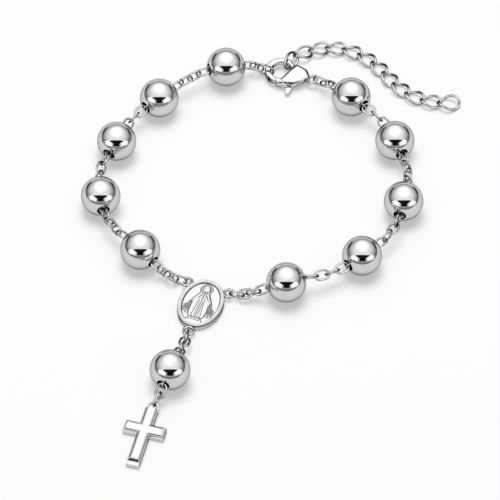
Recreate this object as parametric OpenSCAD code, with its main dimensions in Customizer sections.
// Rosary bracelet lying flat: ten polished beads on short cable chain, an oval
// three-way medal with a pendant bead and cross, a lobster clasp and an extension chain.
// Millimetres, +Z up. Origin at the centre of the medal's flat back, on the surface it lies on.

/* [Beads] */
// Diameter of the round beads
bead_d = 8; // [7.8:0.05:8.2]
// Diameter of the hole through each bead
bead_bore_d = 2.55; // [2.5:0.05:2.65]
// How far inside the bead's outer radius the chain's end wire sits
bead_hook_depth = 0.4; // [0.3:0.05:0.6]

/* [Core pins] */
// Diameter of the straight pin hidden in each bead
pin_d = 0.6; // [0.5:0.05:0.8]
// Diameter of the flat eye at each end of the pin
pin_eye_d = 1.9; // [1.85:0.05:1.95]
// Diameter of the hole in the pin's eye
pin_hole_d = 1.2; // [1.1:0.05:1.25]
// Thickness of the pin's flat eye
pin_eye_t = 0.25; // [0.2:0.05:0.3]

/* [Cable chain] */
// Outer length of a cable link
link_l = 3.35; // [3.3:0.01:3.45]
// Outer width of a cable link
link_w = 2.3; // [2.25:0.01:2.4]
// Wire diameter of a cable link
link_wire = 0.45; // [0.4:0.01:0.46]
// Clearance between one link's wire and the next
link_gap = 0.1; // [0.08:0.01:0.14]
// Outer length of the larger link on the hook
hook_link_l = 3.8; // [3.7:0.05:3.9]
// Outer width of the larger link on the hook
hook_link_w = 3.0; // [2.95:0.05:3.1]
// How far the middle of a chain run hangs below the line between its ends
chain_sag = 0.15; // [0:0.05:0.3]

/* [Extension chain] */
// Number of links in the extension chain
ext_count = 12; // [2:1:12]
// Outer length of an extension link
ext_l = 4.8; // [4.7:0.05:4.9]
// Outer width of an extension link
ext_w = 3.4; // [3.3:0.05:3.5]
// Wire diameter of an extension link
ext_wire = 0.55; // [0.5:0.01:0.58]
// Outer length of the last extension link
ext_end_l = 5.0; // [4.8:0.05:5.2]
// Outer width of the last extension link
ext_end_w = 4.0; // [3.8:0.05:4.2]
// Twist of a link from its middle to each end
ext_twist = 42; // [38:1:46]
// Clearance between one extension link's wire and the next
ext_gap = 0.12; // [0.1:0.01:0.14]

/* [Medal] */
// Length of the oval medal without its eyes
medal_l = 12; // [11.7:0.05:12.3]
// Width of the oval medal
medal_w = 8.9; // [8.7:0.05:9.1]
// Thickness of the medal at its rim
medal_t = 1.5; // [1.4:0.05:1.6]
// Width of the raised rim
medal_rim = 0.85; // [0.7:0.05:1]
// Depth of the sunk front and back fields
medal_sink = 0.3; // [0.2:0.05:0.4]
// Height of the figure's relief over the field
relief_h = 0.25; // [0.15:0.05:0.3]
// Ring radius of a chain eye, to the middle of its wire
eye_r = 0.95; // [0.92:0.01:1]
// Wire diameter of a chain eye
eye_wire = 0.55; // [0.5:0.01:0.58]
// Distance of an eye's centre outside the medal's edge
eye_reach = 1.05; // [1:0.01:1.1]

/* [Cross] */
// Length of the cross without its ring
cross_l = 13.6; // [13.4:0.1:14]
// Width across the arms
cross_w = 8.2; // [8:0.1:8.6]
// Width of the bars
bar_w = 2.6; // [2.4:0.05:2.8]
// Height of the straight side walls
cross_wall = 1.1; // [1:0.05:1.2]
// Height of the cross at its crown
cross_t = 1.9; // [1.8:0.05:2]
// Width of the bevel round the front
cross_bevel = 0.6; // [0.5:0.05:0.7]
// Distance from the top of the cross to its arms' upper edge
cross_head = 3.7; // [3.5:0.1:3.9]

/* [Clasp] */
// Radius of the hook to the middle of its wire
hook_r = 2.8; // [2.75:0.01:2.85]
// Width of the hook's wire, seen from above
hook_wire_w = 1.3; // [1.2:0.02:1.34]
// Height of the hook's wire
hook_wire_t = 1.2; // [1.16:0.02:1.24]
// Height of the clasp's middle plane over the surface
clasp_z = 1.65; // [1.6:0.05:1.75]
// Thickness of the clasp's body
clasp_t = 2.5; // [2.4:0.05:2.6]
// Thickness of the lever's arm in its slot
lever_t = 1.0; // [0.9:0.02:1.02]
// Gap between the lever and the walls of its slot, and at its seam with the hook
lever_gap = 0.12; // [0.1:0.01:0.15]
// Diameter of the lever's pin
lever_pin_d = 0.9; // [0.8:0.05:1]
// Radial clearance of the lever on its pin
lever_pin_gap = 0.05; // [0.03:0.01:0.08]
// Width of the thumb tab
tab_w = 1.2; // [1:0.05:1.3]
// How far the thumb tab stands out of the lever
tab_l = 2.6; // [2.4:0.05:2.7]

/* [Hidden] */
$fn = 48;

// Places chosen on the surface, measured from the medal's centre: the ten beads from the
// hook round by the medal to the clasp's tail, the pendant bead, the cross and the hook
bead_xy = [
    [4.8, 59.2], [-8.9, 50.8], [-17.4, 39.3], [-20.3, 25.0], [-12.1, 11.3],
    [16.9, 3.1], [32.0, 9.8], [40.6, 23.7], [39.2, 39.5], [30.5, 51.1]
];
pendant_xy = [-5.8, -18.3];
cross_xy = [-9.315, -25.65];
hook_xy = [16.25, 59.95];
// Directions in degrees from +X: the medal's top, the cross's foot and the clasp's tail
medal_turn = 70.5;
cross_turn = 255;
clasp_turn = -11;
// Heading of each extension link, and the height of the joint before it
ext_turn = [54, 29, 13, -6, -25, -40, -51, -56, -46, -29, -12, 0];
ext_start_z = [clasp_z, 1.45, 1.1];
// Chain runs from the hook to the medal, from the medal to the clasp's tail, and of the drop:
// number of links, and roll of the first link about its line. Each next link turns a quarter more
run_links = [[3, 4, 3, 3, 4, 4], [4, 4, 4, 4, 3, 3], [4, 2]];
run_roll = [[-85, 11, -25, 50, 66, 168], [102, 115, -8, 41, -25, -80], [85, 0]];

bead_z = bead_d / 2;
bead_hook = bead_d / 2 - bead_hook_depth;
pin_play = (pin_hole_d - link_wire) / 2 - 2 * link_gap;
pin_root = 0.2;
// Distance between a link's end wires, and the widest and closest that links can follow each other
link_reach = link_l - link_wire;
link_pitch = link_l - 2 * link_wire - link_gap - 0.02;
link_crowd = (link_l + link_gap) / 2 + 0.03;
// Distances from the middle of a gripped wire to the middle of the end wire round it
eye_grip = (eye_wire + link_wire) / 2 + 2 * link_gap;
hook_grip = (hook_wire_w + link_wire) / 2 + 2 * link_gap;
ext_grip = (hook_wire_w + ext_wire) / 2 + 3 * link_gap;
ext_rest_z = 1.0;
medal_eye_z = 1.1;
// Place of the cross's ring in the cross's own frame, with +X to its foot, the height of the
// ring's root, and the slopes of the two rings that the chain lifts
cross_ring_xy = [-0.45, 0.28];
cross_ring_z = 0.9;
cross_ring_tilt = 28;
tail_tilt = 18;
hook_angle = 194.5;
hook_ext_angle = 70;
steel = [0.80, 0.81, 0.82];
bright = [0.90, 0.90, 0.91];
dark_steel = [0.62, 0.63, 0.65];

// Vector helpers
function unit(v) = v / norm(v);
function spot(xy, z) = [xy.x, xy.y, z];
function dir(a) = [cos(a), sin(a), 0];
function yaw(v) = atan2(v.y, v.x);
function wrap(a) = a > 180 ? a - 360 : a < -180 ? a + 360 : a;
function placed(origin, turn, p) =
    [origin.x + p.x * cos(turn) - p.y * sin(turn), origin.y + p.x * sin(turn) + p.y * cos(turn), p.z];

// The medal's outline and the places of its three eyes, in its own frame with +Y to its top
function oval_edge(a) = 1 / norm([2 * cos(a) / medal_w, 2 * sin(a) / medal_l]);
function medal_eye(a) = (oval_edge(a) + eye_reach) * dir(a);
function medal_place(p) = placed([0, 0], medal_turn - 90, spot(p, medal_eye_z));
medal_eye_angles = [136, 44, 270];

// The clasp's own frame has the hook's centre as origin and +X to its tail
function clasp_place(x, y) = placed(hook_xy, clasp_turn, [x, y, clasp_z]);
tail_eye = [6.85, -1.1];
lever_pivot = [4.5, -0.9];
lever_reach = 5.5;
seam_angle = 254;
function hook_place(a) = clasp_place(hook_r * cos(a), hook_r * sin(a));

// Point on an eye's wire where a run to a target pulls, for an eye that slopes up toward it
function eye_pull(centre, target, tilt) = let (away = unit([target.x - centre.x, target.y - centre.y, 0]))
    centre + eye_r * cos(tilt) * away + [0, 0, eye_r * sin(tilt)];
function raised(centre, tilt) = centre + [0, 0, eye_r * sin(tilt)];

// Stations that the two arms of the loop and the drop pass through
beads = [for (p = bead_xy) spot(p, bead_z)];
pendant = spot(pendant_xy, bead_z);
medal_eyes = [for (a = medal_eye_angles) medal_place(medal_eye(a))];
tail_centre = raised(clasp_place(tail_eye.x, tail_eye.y), tail_tilt);
cross_centre = raised(placed(cross_xy, cross_turn, spot(cross_ring_xy, cross_ring_z)), cross_ring_tilt);
stations = [
    concat([hook_place(hook_angle)], [for (k = [0 : 4]) beads[k]], [eye_pull(medal_eyes[0], beads[4], 0)]),
    concat([eye_pull(medal_eyes[1], beads[5], 0)], [for (k = [5 : 9]) beads[k]],
        [eye_pull(tail_centre, beads[9], tail_tilt)]),
    [eye_pull(medal_eyes[2], pendant, 0), pendant, eye_pull(cross_centre, pendant, cross_ring_tilt)]
];

// Direction of a bead's hole, halfway between the ways to its two neighbours
function bead_dir(arm, i) = unit(
    unit(stations[arm][i] - stations[arm][i - 1]) + unit(stations[arm][i + 1] - stations[arm][i]));

// Where a chain run starts and ends: inside a bead's hole, in an eye, or on the hook. A run may
// sit deeper in its beads' holes by shift, so that its links are neither stretched nor crowded
function is_bead(arm, i) = i > 0 && i < len(stations[arm]) - 1;
function on_hook(arm, i) = arm == 0 && i == 0;
function toward(arm, i, step) = unit(stations[arm][i + step] - stations[arm][i]);
function anchor(arm, i, step, shift) =
    is_bead(arm, i) ? stations[arm][i] + step * (bead_hook - shift) * bead_dir(arm, i)
    : stations[arm][i] - (on_hook(arm, i) ? hook_grip : eye_grip) * toward(arm, i, step);

// Angle by which a run bows out, so that it leaves its beads along their holes
function bow_at(arm, i, chord, sign) =
    is_bead(arm, i) ? sign * wrap(yaw(bead_dir(arm, i)) - yaw(chord)) : undef;
function bow(arm, i) = let (
    chord = anchor(arm, i + 1, -1, 0) - anchor(arm, i, 1, 0),
    a = bow_at(arm, i, chord, 1),
    b = bow_at(arm, i + 1, chord, -1)
) is_undef(a) ? b : is_undef(b) ? a : (a + b) / 2;

// Point of a run at share t of its way
function run_point(arm, i, t, shift) = let (
    p = anchor(arm, i, 1, shift),
    q = anchor(arm, i + 1, -1, shift),
    chord = q - p,
    rise = norm(chord) / 2 * tan(bow(arm, i) / 2),
    side = dir(yaw(chord) + 90),
    hump = 4 * t * (1 - t)
) p + chord * t + side * rise * hump - [0, 0, chain_sag] * hump;
function run_length(arm, i, shift) = let (
    steps = 12,
    points = [for (k = [0 : steps]) run_point(arm, i, k / steps, shift)]
) [for (k = [1 : steps]) norm(points[k] - points[k - 1])] * [for (k = [1 : steps]) 1];
function first_reach(arm, i) = on_hook(arm, i) ? hook_link_l - link_wire : link_reach;
function run_shift(arm, i) = let (
    free = run_length(arm, i, 0),
    gaps = run_links[arm][i] - 1,
    first = first_reach(arm, i),
    wanted = min(max(free, first + gaps * link_crowd), first + gaps * link_pitch),
    ends = (is_bead(arm, i) ? 1 : 0) + (is_bead(arm, i + 1) ? 1 : 0)
) (wanted - free) / ends;
function last_roll(arm, i) = run_roll[arm][i] + 90 * (run_links[arm][i] - 1);

// Put a piece that lies along X between two points, rolled about its line
module along(a, b, roll) {
    d = b - a;
    translate((a + b) / 2)
        rotate([0, -atan2(d.z, norm([d.x, d.y])), yaw(d)])
            rotate([roll, 0, 0]) children();
}

module cable_link(l, w) {
    bend_r = (w - link_wire) / 2;
    side_l = l - w;
    for (turn = [0, 180]) rotate([0, 0, turn]) {
        translate([side_l / 2, 0, 0]) rotate([0, 0, -90])
            rotate_extrude(angle = 180) translate([bend_r, 0]) circle(d = link_wire);
        translate([-side_l / 2, bend_r, 0]) rotate([0, 90, 0]) cylinder(d = link_wire, h = side_l);
    }
}

// One run of cable chain between stations i and i + 1 of an arm
module chain_run(arm, i) {
    count = run_links[arm][i];
    shift = run_shift(arm, i);
    length = run_length(arm, i, shift);
    first = first_reach(arm, i);
    for (k = [0 : count - 1]) {
        large = k == 0 && on_hook(arm, i);
        end = first + k * (length - first) / (count - 1);
        start = k == 0 ? 0 : end - link_reach;
        color(steel) along(
            run_point(arm, i, start / length, shift),
            run_point(arm, i, end / length, shift),
            run_roll[arm][i] + 90 * k
        ) cable_link(large ? hook_link_l : link_l, large ? hook_link_w : link_w);
    }
}

// A bead's own frame has its hole along X
module in_bead(arm, i) {
    along(stations[arm][i] - bead_dir(arm, i), stations[arm][i] + bead_dir(arm, i), 0) children();
}
module bead(arm, i) {
    color(bright) in_bead(arm, i) rotate([0, 90, 0]) difference() {
        sphere(d = bead_d, $fn = 96);
        cylinder(d = bead_bore_d, h = 2 * bead_d, center = true);
    }
}

// Straight pin hidden in a bead, with a flat eye at each end for the chain
module core_pin(arm, i) {
    back_x = run_shift(arm, i - 1) + pin_play - bead_hook;
    front_x = bead_hook - run_shift(arm, i) - pin_play;
    trim = pin_eye_d / 2 - pin_root;
    color(dark_steel) in_bead(arm, i) difference() {
        union() {
            translate([back_x + trim, 0, 0]) rotate([0, 90, 0])
                cylinder(d = pin_d, h = front_x - back_x - 2 * trim);
            pin_eye(back_x, last_roll(arm, i - 1)) cylinder(d = pin_eye_d, h = pin_eye_t, center = true);
            pin_eye(front_x, run_roll[arm][i]) cylinder(d = pin_eye_d, h = pin_eye_t, center = true);
        }
        pin_eye(back_x, last_roll(arm, i - 1)) cylinder(d = pin_hole_d, h = pin_eye_d, center = true);
        pin_eye(front_x, run_roll[arm][i]) cylinder(d = pin_hole_d, h = pin_eye_d, center = true);
    }
}
module pin_eye(x, roll) {
    translate([x, 0, 0]) rotate([roll + 90, 0, 0]) children();
}

module eye_ring() {
    rotate_extrude() translate([eye_r, 0]) circle(d = eye_wire);
}
// Eye rooted at the origin, that slopes up along +X
module raised_eye(tilt) {
    rotate([0, -tilt, 0]) translate([eye_r, 0, 0]) eye_ring();
}

// Oval plate whose outline lies a given distance inside the medal's edge
module oval(inset, h) {
    points = [for (a = [0 : 5 : 355]) [(medal_w / 2 - inset) * cos(a), (medal_l / 2 - inset) * sin(a)]];
    linear_extrude(h) polygon(points);
}

// Outlines of the robed figure, as shares of half the field's width and length
mantle_shares = [
    [0.20, 0.62], [0.42, 0.33], [0.62, 0.05], [0.56, -0.03], [0.46, 0.00], [0.50, -0.30], [0.44, -0.68]
];
robe_shares = [[0.17, 0.50], [0.25, 0.20], [0.22, -0.10], [0.36, -0.72]];
halo_share = 0.70;
halo_r = 1.2;
halo_wire = 0.18;
head_r = 0.62;
globe_share = -1.02;
globe_r = 1.85;
hand_share = [0.60, 0.02];
hand_drop = 0.35;
// Direction and length of each ray under the figure's hands
rays = [[-92, 2.24], [-81, 2.12], [-70, 1.68], [-59, 1.24], [-48, 0.8]];
ray_w = 0.12;
// Heights of the relief's parts, as shares of its full height, and how deep they are rooted
mantle_rise = 0.5;
robe_rise = 0.8;
ray_rise = 0.3;
globe_rise = 0.6;
relief_root = 0.1;
rim_marks = 44;
rim_mark_d = 0.22;
rim_mark_h = 0.08;
field_w = medal_w / 2 - medal_rim;
field_l = medal_l / 2 - medal_rim;
field_z = medal_t - medal_sink;

module both_sides() {
    for (side = [0, 1]) mirror([side, 0, 0]) children();
}
module share_outline(shares, h) {
    right = [for (p = shares) [p.x * field_w, p.y * field_l]];
    left = [for (k = [len(right) - 1 : -1 : 0]) [-right[k].x, right[k].y]];
    linear_extrude(h) polygon(concat(right, left));
}

module medal_figure() {
    translate([0, 0, field_z - relief_root]) {
        share_outline(mantle_shares, relief_root + relief_h * mantle_rise);
        share_outline(robe_shares, relief_root + relief_h * robe_rise);
        translate([0, halo_share * field_l, 0]) {
            rotate_extrude() translate([halo_r, relief_root]) circle(d = halo_wire, $fn = 24);
            sphere(r = head_r);
        }
        both_sides() for (ray = rays)
            translate([hand_share.x * field_w, hand_share.y * field_l - hand_drop, 0])
                rotate([0, 0, ray[0]]) translate([0, -ray_w / 2, 0])
                    cube([ray[1], ray_w, relief_root + relief_h * ray_rise]);
        intersection() {
            translate([0, globe_share * field_l, 0])
                cylinder(r = globe_r, h = relief_root + relief_h * globe_rise);
            oval(medal_rim - relief_root, 1);
        }
    }
}

module medal() {
    color(steel) rotate([0, 0, medal_turn - 90]) {
        difference() {
            union() {
                oval(0, medal_t);
                for (a = medal_eye_angles) translate(spot(medal_eye(a), medal_eye_z)) eye_ring();
            }
            translate([0, 0, field_z]) oval(medal_rim, medal_t);
        }
        medal_figure();
        for (k = [0 : rim_marks - 1]) {
            a = 360 * k / rim_marks;
            translate([(field_w + medal_rim / 2) * cos(a), (field_l + medal_rim / 2) * sin(a), field_z])
                cylinder(d = rim_mark_d, h = medal_sink + rim_mark_h, $fn = 16);
        }
    }
}

// Bar with upright walls and a bevelled, raised front
module bevelled_bar(l, w) {
    hull() {
        translate([0, -w / 2, 0]) cube([l, w, cross_wall]);
        translate([cross_bevel, cross_bevel - w / 2, cross_wall])
            cube([l - 2 * cross_bevel, w - 2 * cross_bevel, cross_t - cross_wall]);
    }
}

module rosary_cross() {
    color(bright) translate(cross_xy) rotate([0, 0, cross_turn]) {
        bevelled_bar(cross_l, bar_w);
        translate([cross_head + bar_w / 2, -cross_w / 2, 0]) rotate([0, 0, 90]) bevelled_bar(cross_w, bar_w);
        translate(spot(cross_ring_xy, cross_ring_z)) translate([eye_r, 0, 0])
            rotate([0, 0, 180]) raised_eye(cross_ring_tilt);
    }
}

// Cross-section of the hook's wire, with rounded edges
hook_edge_d = 1;
module hook_section(r) {
    spread_x = hook_wire_w - hook_edge_d;
    spread_y = hook_wire_t - hook_edge_d;
    translate([r, 0]) {
        for (x = [-0.5, 0.5], y = [-0.5, 0.5]) translate([x * spread_x, y * spread_y]) circle(d = hook_edge_d);
        square([hook_wire_w, spread_y], center = true);
        square([spread_x, hook_wire_t], center = true);
    }
}
module hook_arc(from, to) {
    rotate([0, 0, from]) rotate_extrude(angle = to - from) hook_section(hook_r);
}

// Places of the balls that the clasp's swelling body is drawn over, and their shares of its thickness
body_balls = [[3.25, 0.75, 1], [1.45, -2.2, 0.66], [5.05, -0.7, 0.84], [2.7, -2.45, 0.86]];
neck_angle = 60;
neck_end = [2.6, 1.2];
neck_d = 0.95;
seam_overlap = 12;
slot_h = lever_t + 2 * lever_gap;
slot_points = [[5.45, -6], [5.45, 0.1], [-2.5, 1], [-2.5, -6]];
pin_seat = 0.2;
gate_end_angle = 290;
lever_end_r = 0.75;
gate_r = 0.6;
// Distance from the pin beyond which the gate is as thick as the hook, clear of the body
gate_full_r = 4.3;
tab_x = 2.3;
tab_root_y = -2.4;
// Where the tab starts to slope down, how far its end lies under its root, and how thick it ends
tab_slope_y = -3.9;
tab_drop = 0.5;
tab_t = 0.7;
tab_root_t = 0.01;

module clasp_frame() {
    translate(spot(hook_xy, clasp_z)) rotate([0, 0, clasp_turn]) children();
}
module at_pivot(r, h) {
    translate(spot(lever_pivot, 0)) cylinder(r = r, h = h, center = true);
}

module clasp_body() {
    color(bright) clasp_frame() {
        difference() {
            hook_arc(neck_angle, seam_angle + seam_overlap);
            intersection() {
                at_pivot(lever_reach + lever_gap, 2 * hook_wire_t);
                translate([-hook_r, -2 * hook_r, -hook_r]) cube([2 * hook_r, 1.5 * hook_r, 2 * hook_r]);
            }
        }
        hull() {
            translate(hook_r * dir(neck_angle)) sphere(d = neck_d, $fn = 24);
            translate(spot(neck_end, 0)) sphere(d = neck_d, $fn = 24);
        }
        difference() {
            hull() for (b = body_balls) translate([b.x, b.y, 0]) sphere(r = b.z * clasp_t / 2, $fn = 32);
            translate([0, 0, -slot_h / 2]) linear_extrude(slot_h) polygon(slot_points);
        }
        at_pivot(lever_pin_d / 2, slot_h + 2 * pin_seat);
        translate([tail_eye.x - eye_r, tail_eye.y, 0]) raised_eye(tail_tilt);
    }
}

// Spring lever: the gate that closes the hook, its arm in the body's slot and the thumb tab
module clasp_lever() {
    gate_end = hook_r * dir(gate_end_angle);
    arm = spot(lever_pivot, 0) - gate_end;
    side = [-arm.y, arm.x, 0] / norm(arm);
    arm_points = [for (p = [
        gate_end + side * gate_r, gate_end - side * gate_r,
        spot(lever_pivot, 0) - side * lever_end_r, spot(lever_pivot, 0) + side * lever_end_r
    ]) [p.x, p.y]];
    color(steel) clasp_frame() difference() {
        union() {
            intersection() {
                hook_arc(seam_angle - seam_overlap, gate_end_angle);
                difference() {
                    at_pivot(lever_reach, 2 * hook_wire_t);
                    at_pivot(gate_full_r, 4 * hook_wire_t);
                }
            }
            intersection() {
                hook_arc(seam_angle - seam_overlap, gate_end_angle);
                at_pivot(gate_full_r + lever_gap, lever_t);
            }
            translate([0, 0, -lever_t / 2]) linear_extrude(lever_t) {
                polygon(arm_points);
                translate([gate_end.x, gate_end.y]) circle(r = gate_r);
                translate(lever_pivot) circle(r = lever_end_r);
                translate([tab_x - tab_w / 2, tab_slope_y]) square([tab_w, tab_root_y - tab_slope_y]);
            }
            hull() {
                translate([tab_x - tab_w / 2, tab_slope_y, -lever_t / 2]) cube([tab_w, tab_root_t, lever_t]);
                translate([tab_x, tab_root_y - tab_l, -lever_t / 2 - tab_drop]) cylinder(d = tab_w, h = tab_t);
            }
        }
        at_pivot(lever_pin_d / 2 + lever_pin_gap, 2 * hook_wire_t);
    }
}

// Centre line of a link whose ends are rolled by from and to degrees about its length
function twisted_path(l, w, from, to, n) = [for (k = [0 : n - 1]) let (
    t = 360 * k / n,
    roll = (from + to) / 2 + (to - from) / 2 * cos(t)
) [l / 2 * cos(t), w / 2 * sin(t) * cos(roll), w / 2 * sin(t) * sin(roll)]];

// Round wire swept along a closed path round the origin
module closed_wire(path, d, sides) {
    n = len(path);
    rings = [for (k = [0 : n - 1]) let (
        ahead = unit(path[(k + 1) % n] - path[(k + n - 1) % n]),
        up = unit(cross(ahead, path[k])),
        out = cross(up, ahead)
    ) for (m = [0 : sides - 1]) path[k] + d / 2 * (out * cos(360 * m / sides) + up * sin(360 * m / sides))];
    faces = [for (k = [0 : n - 1]) for (m = [0 : sides - 1]) let (
        a = k * sides, b = (k + 1) % n * sides, e = (m + 1) % sides
    ) each [[a + m, a + e, b + e], [a + m, b + e, b + m]]];
    polyhedron(rings, faces);
}

ext_path_steps = 20;
ext_wire_sides = 6;
ext_first_roll = 74;
function ext_reach(k) = (k == ext_count - 1 ? ext_end_l : ext_l) - ext_wire;
function ext_z(k) = k < len(ext_start_z) ? ext_start_z[k] : ext_rest_z;
function ext_start(k) = k == 0 ? hook_place(hook_ext_angle) - ext_grip * dir(ext_turn[0])
    : ext_end(k - 1) - (ext_wire + ext_gap) * dir((ext_turn[k - 1] + ext_turn[k]) / 2);
function ext_end(k) = let (
    rise = ext_z(k + 1) - ext_start(k).z,
    run = sqrt(ext_reach(k) * ext_reach(k) - rise * rise)
) ext_start(k) + run * dir(ext_turn[k]) + [0, 0, rise];

module chain_extension() {
    for (k = [0 : ext_count - 1]) {
        w = (k == ext_count - 1 ? ext_end_w : ext_w) - ext_wire;
        first = k == 0 ? ext_first_roll : -ext_twist;
        color(steel) along(ext_start(k), ext_end(k), 0)
            closed_wire(
                twisted_path(ext_reach(k), w, first, ext_twist, ext_path_steps), ext_wire, ext_wire_sides
            );
    }
}

module core_pins() {
    for (i = [1 : 5]) {
        core_pin(0, i);
        core_pin(1, i);
    }
    core_pin(2, 1);
}

bead(0, 1);  // bead_01
bead(0, 2);  // bead_02
bead(0, 3);  // bead_03
bead(0, 4);  // bead_04
bead(0, 5);  // bead_05
bead(1, 1);  // bead_06
bead(1, 2);  // bead_07
bead(1, 3);  // bead_08
bead(1, 4);  // bead_09
bead(1, 5);  // bead_10
bead(2, 1);  // bead_pendant
core_pins();
chain_run(0, 0);  // chain_01
chain_run(0, 1);  // chain_02
chain_run(0, 2);  // chain_03
chain_run(0, 3);  // chain_04
chain_run(0, 4);  // chain_05
chain_run(0, 5);  // chain_06
chain_run(1, 0);  // chain_07
chain_run(1, 1);  // chain_08
chain_run(1, 2);  // chain_09
chain_run(1, 3);  // chain_10
chain_run(1, 4);  // chain_11
chain_run(1, 5);  // chain_12
chain_run(2, 0);  // chain_medal_pendant
chain_run(2, 1);  // chain_pendant_cross
medal();
rosary_cross();  // cross
clasp_body();
clasp_lever();
chain_extension();
